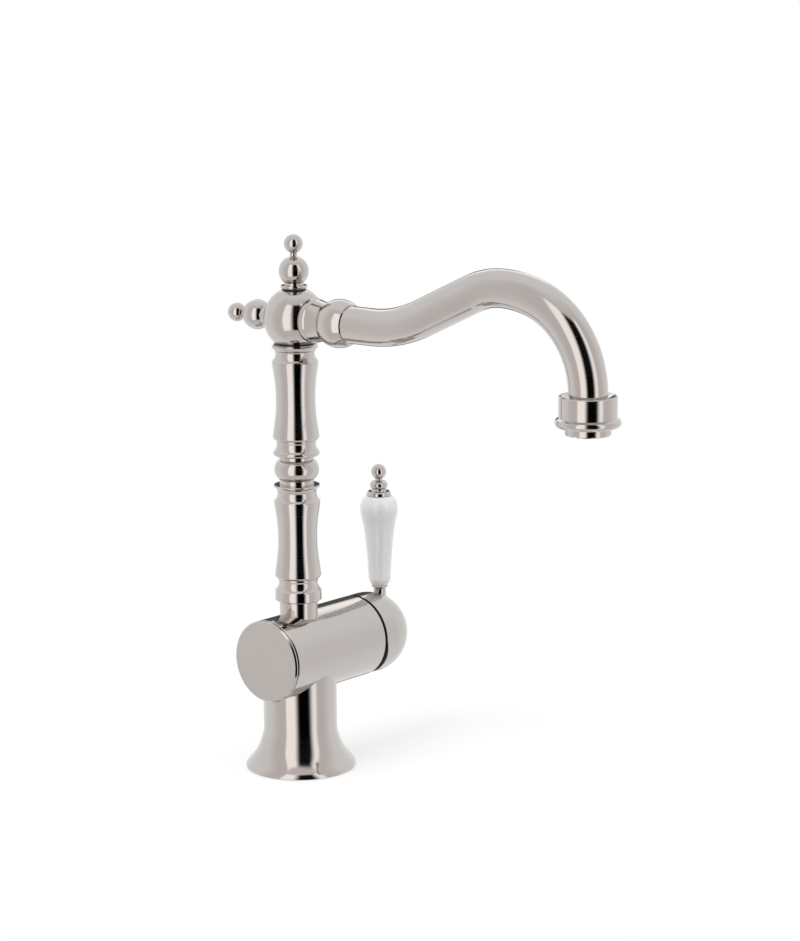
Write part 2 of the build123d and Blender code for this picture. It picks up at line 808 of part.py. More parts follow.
# Neck ring between the hub and the spout
ring_end = hub_front_reach + neck_ring_length
with BuildPart() as spout_neck_ring:
    lip_start = hub_front_reach + neck_ring_seam
    lip_end = lip_start + neck_ring_lip
    with BuildSketch(spout_plane):
        with BuildLine():
            Polyline(
                (ring_end, root_nut_end_radius),
                (ring_end, spout_bore_radius),
                (neck_seat, spout_bore_radius),
                (neck_seat, neck_spigot_radius),
                (hub_front_reach, neck_spigot_radius),
                (hub_front_reach, neck_ring_root_radius - neck_ring_seam),
                (lip_start, neck_ring_root_radius - neck_ring_seam),
                (lip_start, neck_ring_root_radius),
            )
            ThreePointArc(
                (lip_start, neck_ring_root_radius),
                (lip_start + 0.55 * neck_ring_lip, neck_ring_radius),
                (lip_end, neck_ring_root_radius),
            )
            ThreePointArc(
                (lip_end, neck_ring_root_radius),
                (lip_end + 0.5 * (ring_end - lip_end), neck_ring_cove_radius),
                (ring_end, root_nut_end_radius),
            )
        make_face()
    revolve(axis=spout_axis)
save(spout_neck_ring.part, "spout_neck_ring")

# Root nut: the barrel-shaped ring that holds the spout tube
nut_end = ring_end + root_nut_length
socket_floor = nut_end - tube_socket
tube_bore = tube_radius - tube_wall
with BuildPart() as spout_root_nut:
    with BuildSketch(spout_plane):
        with BuildLine():
            Polyline(
                (nut_end, root_nut_end_radius),
                (nut_end, tube_radius),
                (socket_floor, tube_radius),
                (socket_floor, tube_bore),
                (ring_end, spout_bore_radius),
                (ring_end, root_nut_end_radius),
            )
            Spline(
                (ring_end, root_nut_end_radius),
                (ring_end + 0.46 * root_nut_length, root_nut_radius),
                (nut_end, root_nut_end_radius),
            )
        make_face()
    revolve(axis=spout_axis)
save(spout_root_nut.part, "spout_root_nut")

# Spout tube: level at the root, up a ramp, over the crown and straight down
crown_exit_angle = 90 + rise_angle - crown_entry_angle - crown_top_angle
with BuildLine() as route:
    root = Line((socket_floor, 0), (nut_end + root_straight, 0))
    rise = JernArc(start=root @ 1, tangent=root % 1, radius=rise_radius, arc_size=rise_angle)
    ramp = Line(rise @ 1, rise @ 1 + ramp_length * (rise % 1))
    entry = JernArc(ramp @ 1, ramp % 1, crown_entry_radius, -crown_entry_angle)
    crown = JernArc(entry @ 1, entry % 1, crown_top_radius, -crown_top_angle)
    descent = JernArc(crown @ 1, crown % 1, crown_exit_radius, -crown_exit_angle)
    Line(descent @ 1, descent @ 1 + drop_straight * (descent % 1))
tube_path = spout_plane.from_local_coords(route.line)
with BuildPart() as spout_tube:
    with BuildSketch(across_spout(socket_floor)):
        Circle(tube_radius)
        Circle(tube_bore, mode=Mode.SUBTRACT)
    sweep(path=tube_path)
save(spout_tube.part, "spout_tube")

# Spout end: a collar with a dished top, a flared ring under it and the aerator
outlet = tube_path @ 1
outlet_plane = Plane(origin=outlet, x_dir=(1, 0, 0), z_dir=(0, -1, 0))
outlet_axis = Axis(outlet, (0, 0, 1))
collar_top = drop_straight - moving_gap
collar_low = collar_top - end_collar_height
ring_low = collar_low - end_ring_height
thread_bore = aerator_thread_radius + running_gap
aerator_ledge = ring_low + aerator_thread_length + aerator_seal_height
with BuildPart() as end_collar:
    collar_outline = [
        (tube_radius, collar_top - end_collar_recess),
        (tube_radius, 0),
        (tube_bore, 0),
        (tube_bore, aerator_ledge),
        (thread_bore, aerator_ledge),
        (thread_bore, ring_low),
        (end_spigot_radius, ring_low),
        (end_spigot_radius, collar_low),
        (end_collar_radius, collar_low),
        (end_collar_radius, collar_top - end_collar_bevel),
        (end_collar_radius - end_collar_bevel, collar_top),
        (end_collar_radius - end_collar_lip, collar_top),
    ]
    turn(collar_outline, outlet_plane, outlet_axis)
save(end_collar.part, "end_collar")

with BuildPart() as end_ring:
    ring_bore = end_spigot_radius + running_gap
    with BuildSketch(outlet_plane):
        with BuildLine():
            Polyline(
                (end_spigot_radius + 1.2, ring_low),
                (ring_bore, ring_low),
                (ring_bore, collar_low),
                (end_collar_radius, collar_low),
                (end_ring_radius - 0.5, collar_low - 0.9),
            )
            ThreePointArc(
                (end_ring_radius - 0.5, collar_low - 0.9),
                (end_ring_radius, collar_low - 0.45 * end_ring_height),
                (end_spigot_radius + 1.2, ring_low),
            )
        make_face()
    revolve(axis=outlet_axis)
save(end_ring.part, "end_ring")

# Aerator: a threaded housing, the seal above it and the screen that shapes the water
aerator_low = ring_low - aerator_drop
screen_low = aerator_low + aerator_lip
with BuildPart() as aerator_housing:
    housing_outline = [
        (aerator_bore_radius, ring_low + aerator_thread_length),
        (aerator_thread_radius, ring_low + aerator_thread_length),
        (aerator_thread_radius, ring_low),
        (aerator_radius, ring_low),
        (aerator_radius, aerator_low + aerator_bevel),
        (aerator_radius - aerator_bevel, aerator_low),
        (aerator_bore_radius - aerator_lip, aerator_low),
        (aerator_bore_radius - aerator_lip, screen_low),
        (aerator_bore_radius, screen_low),
    ]
    turn(housing_outline, outlet_plane, outlet_axis)
    with BuildSketch(Plane(origin=outlet).offset(aerator_low)):
        Rectangle(2 * aerator_radius, aerator_slot_width)
    extrude(amount=aerator_lip - moving_gap, mode=Mode.SUBTRACT)
save(aerator_housing.part, "aerator_housing")

with BuildPart() as aerator_seal:
    with BuildSketch(Plane(origin=outlet).offset(ring_low + aerator_thread_length)):
        Circle(aerator_thread_radius)
        Circle(tube_bore, mode=Mode.SUBTRACT)
    extrude(amount=aerator_seal_height)
save(aerator_seal.part, "aerator_seal")

with BuildPart() as aerator_screen:
    with BuildSketch(Plane(origin=outlet).offset(screen_low)):
        Circle(aerator_bore_radius - running_gap)
        Circle(screen_hole_radius, mode=Mode.SUBTRACT)
        for ring in range(1, screen_ring_count + 1):
            with PolarLocations(ring * screen_ring_pitch, 6 * ring):
                Circle(screen_hole_radius, mode=Mode.SUBTRACT)
    extrude(amount=aerator_screen_height)
save(aerator_screen.part, "aerator_screen")

# Ports that the base and the fixed disc share, by name
ports = {
    "hot": (-inlet_port[0], inlet_port[1], inlet_port_radius),
    "cold": (inlet_port[0], inlet_port[1], inlet_port_radius),
    "outlet": (0, -outlet_port_drop, outlet_port_radius),
}


def port_holes(reach, length):
    """Cut the three ports through a disc."""
    for across, up, radius in ports.values():
        with BuildSketch(across_barrel(reach)) as hole:
            with Locations((across, up)):
                Circle(radius)
        extrude(hole.sketch, amount=length, mode=Mode.SUBTRACT)


# Cartridge base: carries the port seals on its back face
base_start = cartridge_seat + port_seal_squeeze
base_end = base_start + base_plate_height
disc_start = base_end + fixed_disc_height
bore_of_cartridge = cartridge_radius - cartridge_wall
seal_groove_depth = port_seal_wire - port_seal_squeeze
with BuildPart() as cartridge_base:
    rod(across_barrel(base_start), bore_of_cartridge - assembly_gap, base_plate_height)
    port_holes(base_start, base_plate_height)
    for across, up, radius in ports.values():
        with BuildSketch(across_barrel(base_start)) as groove:
            with Locations((across, up)):
                Circle(radius + port_seal_margin + port_seal_wire)
                Circle(radius + port_seal_margin, mode=Mode.SUBTRACT)
        extrude(groove.sketch, amount=seal_groove_depth, mode=Mode.SUBTRACT)
save(cartridge_base.part, "cartridge_base")

for name, (across, up, radius) in ports.items():
    port_plane = Plane(
        origin=(cartridge_seat + port_seal_wire / 2, across, barrel_height + up),
        x_dir=(0, 0, 1),
        z_dir=(0, -1, 0),
    )
    port_axis = Axis(port_plane.origin, (1, 0, 0))
    with BuildPart() as port_seal:
        mean_radius = radius + port_seal_margin + port_seal_wire / 2
        with BuildSketch(port_plane):
            with Locations((mean_radius, 0)):
                Circle(port_seal_wire / 2)
        revolve(axis=port_axis)
    save(port_seal.part, f"port_seal_{name}")

# Fixed ceramic disc
with BuildPart() as fixed_disc:
    rod(across_barrel(base_end), bore_of_cartridge - assembly_gap, fixed_disc_height)
    port_holes(base_end, fixed_disc_height)
save(fixed_disc.part, "fixed_disc")

# Moving ceramic disc, with the mixing chamber in its face
moving_start = disc_start + disc_face_gap
carrier_start = moving_start + moving_disc_height
carrier_end = carrier_start + carrier_height
with BuildPart() as moving_disc:
    rod(across_barrel(moving_start), disc_radius, moving_disc_height)
    with BuildSketch(across_barrel(moving_start)):
        with Locations((0, -mixing_drop)):
            Circle(mixing_radius)
    extrude(amount=mixing_depth, mode=Mode.SUBTRACT)
save(moving_disc.part, "moving_disc")

# Disc carrier: slides between the rotor's lugs, moved by the ball end of the spindle
pivot_reach = cartridge_end + pivot_out
ball_reach = pivot_reach - spindle_arm
slot_height = 2 * (spindle_ball_radius + assembly_gap)
blade_slot = spindle_thickness + 2 * moving_gap
with BuildPart() as disc_carrier:
    with BuildSketch(across_barrel(carrier_start)):
        Circle(disc_radius)
        Rectangle(2 * carrier_half_width, 2 * disc_radius, mode=Mode.INTERSECT)
    extrude(amount=carrier_height)
    slot_start = ball_reach - spindle_ball_radius - moving_gap
    with BuildSketch(across_barrel(slot_start)):
        Rectangle(blade_slot, slot_height)
    extrude(amount=carrier_end - slot_start, mode=Mode.SUBTRACT)
save(disc_carrier.part, "disc_carrier")

# Cartridge housing, with a key inside that stops the rotor at both ends of its turn
flange_start = carrier_end + moving_gap
flange_end = cartridge_end - cartridge_front - moving_gap
stem_bore = rotor_stem_radius + running_gap
key_radius = bore_of_cartridge - stop_key_height
key_start = flange_end - stop_key_length


def sector_round_barrel(start, end, inner, outer, half_angle, mode):
    """Add or cut a sector of a ring, centred below the axis of the barrel."""
    low = Vector(0, 0, -1).rotate(Axis.X, -half_angle)
    plane = Plane(origin=barrel_axis.position, x_dir=low, z_dir=low.cross(Vector(1, 0, 0)))
    with BuildSketch(plane) as profile:
        with BuildLine():
            Polyline((inner, start), (outer, start), (outer, end), (inner, end), close=True)
        make_face()
    revolve(profile.sketch, axis=barrel_axis, revolution_arc=2 * half_angle, mode=mode)


with BuildPart() as cartridge_housing:
    housing_outline = [
        (base_start, bore_of_cartridge),
        (base_start, cartridge_radius),
        (cartridge_end, cartridge_radius),
        (cartridge_end, cartridge_neck_radius),
        (cartridge_end + cartridge_neck_length, cartridge_neck_radius),
        (cartridge_end + cartridge_neck_length, stem_bore),
        (cartridge_end - cartridge_front, stem_bore),
        (cartridge_end - cartridge_front, bore_of_cartridge),
    ]
    turn(housing_outline, barrel_plane, barrel_axis)
    key_end = cartridge_end - cartridge_front
    sector_round_barrel(key_start, key_end, key_radius, cartridge_radius, stop_key_half_angle, Mode.ADD)
save(cartridge_housing.part, "cartridge_housing")

# Rotor: turns in the housing with the lever, and guides the disc carrier with two lugs
with BuildPart() as cartridge_rotor:
    rod(across_barrel(flange_start), bore_of_cartridge - running_gap, flange_end - flange_start)
    stem_end = cartridge_end + cartridge_neck_length + rotor_stem_out
    rod(across_barrel(flange_start), rotor_stem_radius, stem_end - flange_start)
    with BuildSketch(across_barrel(carrier_start + moving_gap)):
        Circle(bore_of_cartridge - running_gap)
        lug_gap = 2 * (carrier_half_width + running_gap)
        Rectangle(lug_gap, 2 * cartridge_radius, mode=Mode.SUBTRACT)
    extrude(amount=carrier_height)
    slot_plane = across_barrel(flange_start - moving_gap)
    with BuildSketch(slot_plane):
        Rectangle(blade_slot, rotor_slot_height)
    extrude(amount=stem_end, mode=Mode.SUBTRACT)
    notch_half_angle = mixing_travel + stop_key_half_angle + stop_key_play
    notch_radius = key_radius - moving_gap
    sector_round_barrel(
        key_start - moving_gap, stem_end, notch_radius, cartridge_radius, notch_half_angle, Mode.SUBTRACT
    )
    pin_plane = Plane(origin=(pivot_reach, 0, barrel_height), x_dir=(1, 0, 0), z_dir=(0, 1, 0))
    with BuildSketch(pin_plane):
        Circle(pivot_pin_radius + running_gap / 2)
    extrude(amount=cartridge_radius, both=True, mode=Mode.SUBTRACT)
save(cartridge_rotor.part, "cartridge_rotor")

with BuildPart() as pivot_pin:
    with BuildSketch(pin_plane):
        Circle(pivot_pin_radius)
    extrude(amount=rotor_stem_radius - 4 * moving_gap, both=True)
save(pivot_pin.part, "pivot_pin")

# Retaining nut that holds the cartridge in the barrel
with BuildPart() as retaining_nut:
    nut_end_reach = cartridge_end + cartridge_neck_length
    with BuildSketch(across_barrel(cartridge_end)):
        Circle(nut_radius)
        Circle(cartridge_neck_radius + 2 * moving_gap, mode=Mode.SUBTRACT)
    extrude(amount=cartridge_neck_length)
    with BuildSketch(across_barrel(nut_end_reach)):
        Rectangle(2 * cartridge_radius + nut_notch_width, nut_notch_width)
        Rectangle(nut_notch_width, 2 * cartridge_radius + nut_notch_width)
    extrude(amount=-nut_notch_depth, mode=Mode.SUBTRACT)
save(retaining_nut.part, "retaining_nut")

# Spindle: a blade with a ball end inside, and a square end that the dome sits on
dome_boss_start = dome_start + dome_boss_setback
spindle_square_start = pivot_reach + spindle_square_out
spindle_end = dome_boss_start + spindle_grip
with BuildPart() as spindle:
    with BuildSketch(barrel_plane):
        with Locations((ball_reach, 0)):
            Circle(spindle_ball_radius)
        with BuildLine():
            Polyline(
                (ball_reach, -spindle_tip_height / 2),
                (flange_start + spindle_tip_length, -spindle_tip_height / 2),
                (pivot_reach - spindle_height, -spindle_height / 2),
                (spindle_end, -spindle_height / 2),
                (spindle_end, spindle_height / 2),
                (pivot_reach - spindle_height, spindle_height / 2),
                (flange_start + spindle_tip_length, spindle_tip_height / 2),
                (ball_reach, spindle_tip_height / 2),
                close=True,
            )
        make_face()
    extrude(amount=spindle_thickness / 2, both=True)
    with BuildSketch(across_barrel(spindle_square_start)):
        Rectangle(spindle_height, spindle_height)
    extrude(amount=spindle_end - spindle_square_start)
    with BuildSketch(pin_plane):
        Circle(pivot_pin_radius + running_gap)
    extrude(amount=cartridge_radius, both=True, mode=Mode.SUBTRACT)
save(spindle.part, "spindle")

# Dome: a thin shell, relieved below so that it can tip, with a boss for the spindle
dome_shoulder = dome_start + dome_straight
dome_end = dome_shoulder + dome_length
handle_level = barrel_height + barrel_radius * (
    1 - ((handle_reach - dome_shoulder) / dome_length) ** 2
) ** 0.5


def dome_form(radius, length):
    """Solid of revolution with a straight side and an elliptical nose."""
    with BuildSketch(barrel_plane) as profile:
        with BuildLine():
            Line((dome_start, 0), (dome_start, radius))
            Line((dome_start, radius), (dome_shoulder, radius))
            EllipticalCenterArc((dome_shoulder, 0), length, radius, start_angle=0, arc_size=90)
            Line((dome_shoulder + length, 0), (dome_start, 0))
        make_face()
    revolve(profile.sketch, axis=barrel_axis)


with BuildPart() as dome_cavity:
    dome_form(barrel_radius - dome_wall, dome_length - dome_wall)
    rod(across_barrel(dome_boss_start), dome_boss_radius, dome_end, Mode.SUBTRACT)
    post_plane = Plane(origin=(handle_reach, 0, barrel_height), x_dir=(1, 0, 0), z_dir=(0, 0, 1))
    rod(post_plane, dome_post_radius, barrel_radius, Mode.SUBTRACT)

ferrule_low = handle_level - ferrule_seat_depth
rod_low = ferrule_low - rod_seat_depth
screw_reach = dome_boss_start + dome_screw_inset
screw_plane = Plane(origin=(screw_reach, 0, barrel_height), x_dir=(1, 0, 0), z_dir=(0, 0, -1))
with BuildPart() as lever_dome:
    dome_form(barrel_radius, dome_length)
    add(dome_cavity.part, mode=Mode.SUBTRACT)
    relief_plane = Plane(origin=(dome_start, 0, barrel_height), x_dir=(1, 0, 0), z_dir=(0, 1, 0))
    with BuildSketch(relief_plane):
        with BuildLine():
            relief_side = PolarLine((0, 0), 2 * barrel_radius, 90 - dome_relief_angle)
            Polyline(relief_side @ 1, (0, 2 * barrel_radius), (0, 0))
        make_face()
    extrude(amount=2 * barrel_radius, both=True, mode=Mode.SUBTRACT)
    with BuildSketch(across_barrel(dome_boss_start)):
        Rectangle(spindle_height + 2 * running_gap, spindle_height + 2 * running_gap)
    extrude(amount=spindle_end + dome_gap - dome_boss_start, mode=Mode.SUBTRACT)
    holes = {ferrule_low: ferrule_radius, rod_low: rod_radius}
    for level, radius in holes.items():
        plane = post_plane.offset(level - barrel_height)
        rod(plane, radius + running_gap, barrel_radius, Mode.SUBTRACT)
    rod(screw_plane, dome_screw_radius, 2 * barrel_radius, Mode.SUBTRACT)
save(lever_dome.part, "lever_dome")

with BuildPart() as dome_screw:
    grip_plane = screw_plane.offset(spindle_height / 2)
    rod(grip_plane, dome_screw_radius - running_gap, dome_screw_length)
    with BuildSketch(grip_plane.offset(dome_screw_length)):
        RegularPolygon(dome_screw_radius / 2, 6)
    extrude(amount=-dome_screw_radius, mode=Mode.SUBTRACT)
save(dome_screw.part, "dome_screw")

# Handle: ferrule, washer, porcelain, dish ring and knob, all held by one threaded rod
rod_bore = rod_radius + running_gap
ferrule_top_level = handle_level + ferrule_rise
flange_low = ferrule_top_level - ferrule_flange_height
with BuildPart() as ferrule:
    ferrule_outline = [
        (rod_bore, ferrule_low),
        (ferrule_radius, ferrule_low),
        (ferrule_radius, flange_low),
        (ferrule_flange_radius, ferrule_top_level - 0.5),
        (ferrule_flange_radius, ferrule_top_level - 0.2),
        (ferrule_flange_radius - 0.2, ferrule_top_level),
        (rod_bore, ferrule_top_level),
    ]
    turn(ferrule_outline, handle_plane, handle_axis)
save(ferrule.part, "ferrule")

porcelain_low = ferrule_top_level + handle_washer_height
with BuildPart() as handle_washer:
    with BuildSketch(post_plane.offset(ferrule_top_level - barrel_height)):
        Circle(handle_washer_radius)
        Circle(rod_bore, mode=Mode.SUBTRACT)
    extrude(amount=handle_washer_height)
save(handle_washer.part, "handle_washer")

porcelain_top = porcelain_low + porcelain_height
with BuildPart() as porcelain_handle:
    belly_span = porcelain_belly_radius - porcelain_waist_radius
    with BuildSketch(handle_plane):
        with BuildLine():
            Polyline(
                (porcelain_top_radius, porcelain_top),
                (rod_radius + porcelain_bore_gap, porcelain_top),
                (rod_radius + porcelain_bore_gap, porcelain_low),
                (handle_washer_radius, porcelain_low),
            )
            Spline(
                (handle_washer_radius, porcelain_low),
                (porcelain_foot_radius, porcelain_low + 0.057 * porcelain_height),
                (porcelain_waist_radius, porcelain_low + 0.123 * porcelain_height),
                (porcelain_waist_radius + 0.16 * belly_span, porcelain_low + 0.345 * porcelain_height),
                (porcelain_waist_radius + 0.40 * belly_span, porcelain_low + 0.55 * porcelain_height),
                (porcelain_waist_radius + 0.73 * belly_span, porcelain_low + 0.727 * porcelain_height),
                (porcelain_belly_radius, porcelain_low + 0.872 * porcelain_height),
                (porcelain_shoulder_radius, porcelain_low + 0.948 * porcelain_height),
                (porcelain_top_radius, porcelain_top),
            )
        make_face()
    revolve(axis=handle_axis)
save(porcelain_handle.part, "porcelain_handle")

dish_top = porcelain_top + dish_height
with BuildPart() as dish_ring:
    with BuildSketch(handle_plane):
        with BuildLine():
            Polyline(
                (dish_radius - 0.9, dish_top - 0.15),
                (knob_waist_radius + 0.6, dish_top),
                (rod_bore, dish_top),
                (rod_bore, porcelain_top),
                (dish_radius - dish_edge, porcelain_top),
                (dish_radius, porcelain_top + dish_edge),
                (dish_radius, porcelain_top + 2 * dish_edge),
            )
            ThreePointArc(
                (dish_radius, porcelain_top + 2 * dish_edge),
                (dish_radius - 0.2, dish_top - 1.0),
                (dish_radius - 0.9, dish_top - 0.15),
            )
        make_face()
    revolve(axis=handle_axis)
save(dish_ring.part, "dish_ring")

rod_top = dish_top + rod_thread_reach
with BuildPart() as lever_knob:
    ball_level = dish_top + knob_ball_rise
    bead_low = dish_top + knob_bead_rise - knob_bead_height / 2
    bead_top = bead_low + knob_bead_height
    neck_top = ball_level - (knob_ball_radius**2 - knob_neck_radius**2) ** 0.5
    with BuildSketch(handle_plane):
        with BuildLine():
            Polyline(
                (0, rod_top),
                (rod_bore, rod_top),
                (rod_bore, dish_top),
                (knob_waist_radius + 0.3, dish_top),
                (knob_waist_radius, dish_top + 0.4),
                (knob_waist_radius, bead_low),
            )
            ThreePointArc(
                (knob_waist_radius, bead_low),
                (knob_bead_radius, dish_top + knob_bead_rise),
                (knob_neck_radius + 0.8, bead_top),
            )
            Polyline(
                (knob_neck_radius + 0.8, bead_top),
                (knob_neck_radius, bead_top + 0.5),
                (knob_neck_radius, neck_top),
            )
            ThreePointArc(
                (knob_neck_radius, neck_top),
                (knob_ball_radius, ball_level),
                (0, ball_level + knob_ball_radius),
            )
            Line((0, ball_level + knob_ball_radius), (0, rod_top))
        make_face()
    revolve(axis=handle_axis)
save(lever_knob.part, "lever_knob")

with BuildPart() as handle_rod:
    rod(post_plane.offset(rod_low - barrel_height), rod_radius, rod_top - rod_low - moving_gap)
save(handle_rod.part, "handle_rod")
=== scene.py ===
import bpy
import math
import numpy as np
from mathutils import Matrix, Vector


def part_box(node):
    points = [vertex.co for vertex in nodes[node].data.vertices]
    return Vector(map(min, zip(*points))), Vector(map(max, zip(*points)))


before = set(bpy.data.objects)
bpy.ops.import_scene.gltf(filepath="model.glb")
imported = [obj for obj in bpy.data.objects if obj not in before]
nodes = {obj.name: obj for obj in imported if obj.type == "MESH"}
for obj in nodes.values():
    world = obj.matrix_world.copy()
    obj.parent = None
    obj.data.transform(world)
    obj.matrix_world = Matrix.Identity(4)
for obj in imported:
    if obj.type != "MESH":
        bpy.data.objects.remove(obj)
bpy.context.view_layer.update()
print("frame loaded with", len(nodes), "nodes")


# helpers for node materials

def addNode(tree, kind, **settings):
    # a setting is the value of an input socket where the node has one of that name, and a property otherwise
    n = tree.nodes.new(kind)
    for key, value in settings.items():
        if key in n.inputs.keys():
            n.inputs[key].default_value = value
        else:
            setattr(n, key, value)
    return n


def link(tree, *pairs):
    for source, target in pairs:
        tree.links.new(source, target)


def newMaterial(name):
    m = bpy.data.materials.new(name)
    m.use_nodes = True
    m.node_tree.nodes.clear()
    out = m.node_tree.nodes.new("ShaderNodeOutputMaterial")
    return m, m.node_tree, out


def objectNoise(tree, scale, stretch=(1, 1, 1), detail=3.0, rough=0.5):
    coord = addNode(tree, "ShaderNodeTexCoord")
    place = addNode(tree, "ShaderNodeMapping", Scale=stretch)
    noise = addNode(tree, "ShaderNodeTexNoise", Scale=scale, Detail=detail, Roughness=rough)
    link(
        tree,
        (coord.outputs["Object"], place.inputs["Vector"]),
        (place.outputs["Vector"], noise.inputs["Vector"]),
    )
    return noise.outputs["Fac"]


def spread(tree, value, low, high, fromLow=0.3, fromHigh=0.7):
    # the middle of a noise's range is spread over low to high
    limits = {"From Min": fromLow, "From Max": fromHigh, "To Min": low, "To Max": high}
    r = addNode(tree, "ShaderNodeMapRange", **limits)
    link(tree, (value, r.inputs["Value"]))
    return r.outputs["Result"]


def tint(tree, value, darkColour, lightColour):
    # inputs 6 and 7 and output 2 are the mix node's colour sockets
    c = addNode(tree, "ShaderNodeMix", data_type="RGBA")
    c.inputs[6].default_value = (*darkColour, 1)
    c.inputs[7].default_value = (*lightColour, 1)
    link(tree, (spread(tree, value, 0.0, 1.0), c.inputs[0]))
    return c.outputs[2]


def bump(tree, value, strength, distance, before=None):
    b = addNode(tree, "ShaderNodeBump", Strength=strength, Distance=distance)
    link(tree, (value, b.inputs["Height"]))
    if before is not None:
        link(tree, (before, b.inputs["Normal"]))
    return b.outputs["Normal"]


def alongAxis(turnAxis, amount):
    # a stretch that makes noise change quickly along the axis of a turned form and slowly round it
    stretch = [1.0, 1.0, 1.0]
    stretch["xyz".index(turnAxis)] = amount
    return stretch


# polished nickel plate: a soft mirror with buffing marks that run round each turned form
nickelLook = {
    "colourLight": (0.545, 0.517, 0.497),
    "colourDark": (0.520, 0.492, 0.470),
    "cloudScale": 22.0,
    "cloudDetail": 2.0,
    "roughnessLow": 0.075,
    "roughnessHigh": 0.12,
    "markScale": 30.0,
    "markStretch": 60.0,
    "markDetail": 4.0,
    "markRoughness": 0.6,
    "markStrength": 0.25,
    "markDepth": 0.000003,
}


def nickel(name, turnAxis):
    look = nickelLook
    m, tree, out = newMaterial(name)
    shader = addNode(tree, "ShaderNodeBsdfPrincipled", Metallic=1.0)
    stretch = alongAxis(turnAxis, look["markStretch"])
    marks = objectNoise(tree, look["markScale"], stretch, look["markDetail"], look["markRoughness"])
    cloud = objectNoise(tree, look["cloudScale"], detail=look["cloudDetail"])
    roughness = spread(tree, marks, look["roughnessLow"], look["roughnessHigh"])
    link(
        tree,
        (roughness, shader.inputs["Roughness"]),
        (tint(tree, cloud, look["colourDark"], look["colourLight"]), shader.inputs["Base Color"]),
        (bump(tree, marks, look["markStrength"], look["markDepth"]), shader.inputs["Normal"]),
        (shader.outputs["BSDF"], out.inputs["Surface"]),
    )
    return m


# white glazed porcelain: a clear glaze over a milky body, a little wavy
porcelainLook = {
    "body": (0.950, 0.950, 0.948),
    "bodyShade": (0.930, 0.930, 0.928),
    "roughness": 0.30,
    "ior": 1.5,
    "glaze": 0.70,
    "glazeRoughness": 0.16,
    "milk": 0.12,
    "milkRadius": (1.0, 0.9, 0.8),
    "milkDepth": 0.0015,
    "waveScale": 60.0,
    "waveStrength": 0.15,
    "waveDepth": 0.0004,
    "pitScale": 1400.0,
    "pitStrength": 0.04,
    "pitDepth": 0.00005,
}


def porcelain(name):
    look = porcelainLook
    m, tree, out = newMaterial(name)
    shader = addNode(tree, "ShaderNodeBsdfPrincipled", Roughness=look["roughness"], IOR=look["ior"])
    shader.inputs["Coat Weight"].default_value = look["glaze"]
    shader.inputs["Coat Roughness"].default_value = look["glazeRoughness"]
    shader.inputs["Subsurface Weight"].default_value = look["milk"]
    shader.inputs["Subsurface Radius"].default_value = look["milkRadius"]
    shader.inputs["Subsurface Scale"].default_value = look["milkDepth"]
    cloud = objectNoise(tree, look["waveScale"], detail=3.0)
    pits = objectNoise(tree, look["pitScale"], detail=1.0)
    wavy = bump(tree, cloud, look["waveStrength"], look["waveDepth"])
    link(
        tree,
        (tint(tree, cloud, look["bodyShade"], look["body"]), shader.inputs["Base Color"]),
        (bump(tree, pits, look["pitStrength"], look["pitDepth"], wavy), shader.inputs["Normal"]),
        (shader.outputs["BSDF"], out.inputs["Surface"]),
    )
    return m


# turned metals inside the shells, with fine cuts round each form
metalLooks = {
    "brass": {
        "name": "turnedBrass",
        "light": (0.80, 0.60, 0.30),
        "dark": (0.70, 0.50, 0.23),
        "roughness": (0.25, 0.36),
        "turnAxis": "z",
    },
    "steel": {
        "name": "turnedSteel",
        "light": (0.62, 0.62, 0.63),
        "dark": (0.54, 0.54, 0.55),
        "roughness": (0.22, 0.34),
        "turnAxis": "x",
    },
}
metalCuts = {"scale": 60.0, "stretch": 40.0, "strength": 0.3, "depth": 0.00002}


def turnedMetal(look):
    m, tree, out = newMaterial(look["name"])
    shader = addNode(tree, "ShaderNodeBsdfPrincipled", Metallic=1.0)
    cuts = objectNoise(tree, metalCuts["scale"], alongAxis(look["turnAxis"], metalCuts["stretch"]))
    link(
        tree,
        (spread(tree, cuts, *look["roughness"]), shader.inputs["Roughness"]),
        (tint(tree, cuts, look["dark"], look["light"]), shader.inputs["Base Color"]),
        (bump(tree, cuts, metalCuts["strength"], metalCuts["depth"]), shader.inputs["Normal"]),
        (shader.outputs["BSDF"], out.inputs["Surface"]),
    )
    return m


# ceramic, plastics and rubber: a fine grain, and a colour that drifts over a wider one
solidLooks = {
    "ceramic": {
        "name": "lappedCeramic",
        "light": (0.88, 0.87, 0.83),
        "dark": (0.84, 0.83, 0.79),
        "roughness": (0.15, 0.25),
        "grain": 1500.0,
        "depth": 0.000005,
        "sheen": 0.0,
    },
    "cartridge_plastic": {
        "name": "cartridgePlastic",
        "light": (0.80, 0.80, 0.78),
        "dark": (0.76, 0.76, 0.74),
        "roughness": (0.42, 0.52),
        "grain": 1800.0,
        "depth": 0.00001,
        "sheen": 0.0,
    },
    "screen_plastic": {
        "name": "screenPlastic",
        "light": (0.76, 0.77, 0.78),
        "dark": (0.70, 0.71, 0.72),
        "roughness": (0.38, 0.50),
        "grain": 1800.0,
        "depth": 0.00001,
        "sheen": 0.0,
    },
    "nylon": {
        "name": "nylonWasher",
        "light": (0.86, 0.85, 0.81),
        "dark": (0.82, 0.81, 0.77),
        "roughness": (0.40, 0.52),
        "grain": 1500.0,
        "depth": 0.00001,
        "sheen": 0.0,
    },
    "black_plastic": {
        "name": "blackPlastic",
        "light": (0.034, 0.034, 0.034),
        "dark": (0.022, 0.022, 0.022),
        "roughness": (0.42, 0.55),
        "grain": 1500.0,
        "depth": 0.00001,
        "sheen": 0.0,
    },
    "seal_rubber": {
        "name": "sealRubber",
        "light": (0.030, 0.030, 0.030),
        "dark": (0.018, 0.018, 0.018),
        "roughness": (0.55, 0.70),
        "grain": 1600.0,
        "depth": 0.00002,
        "sheen": 0.1,
    },
}
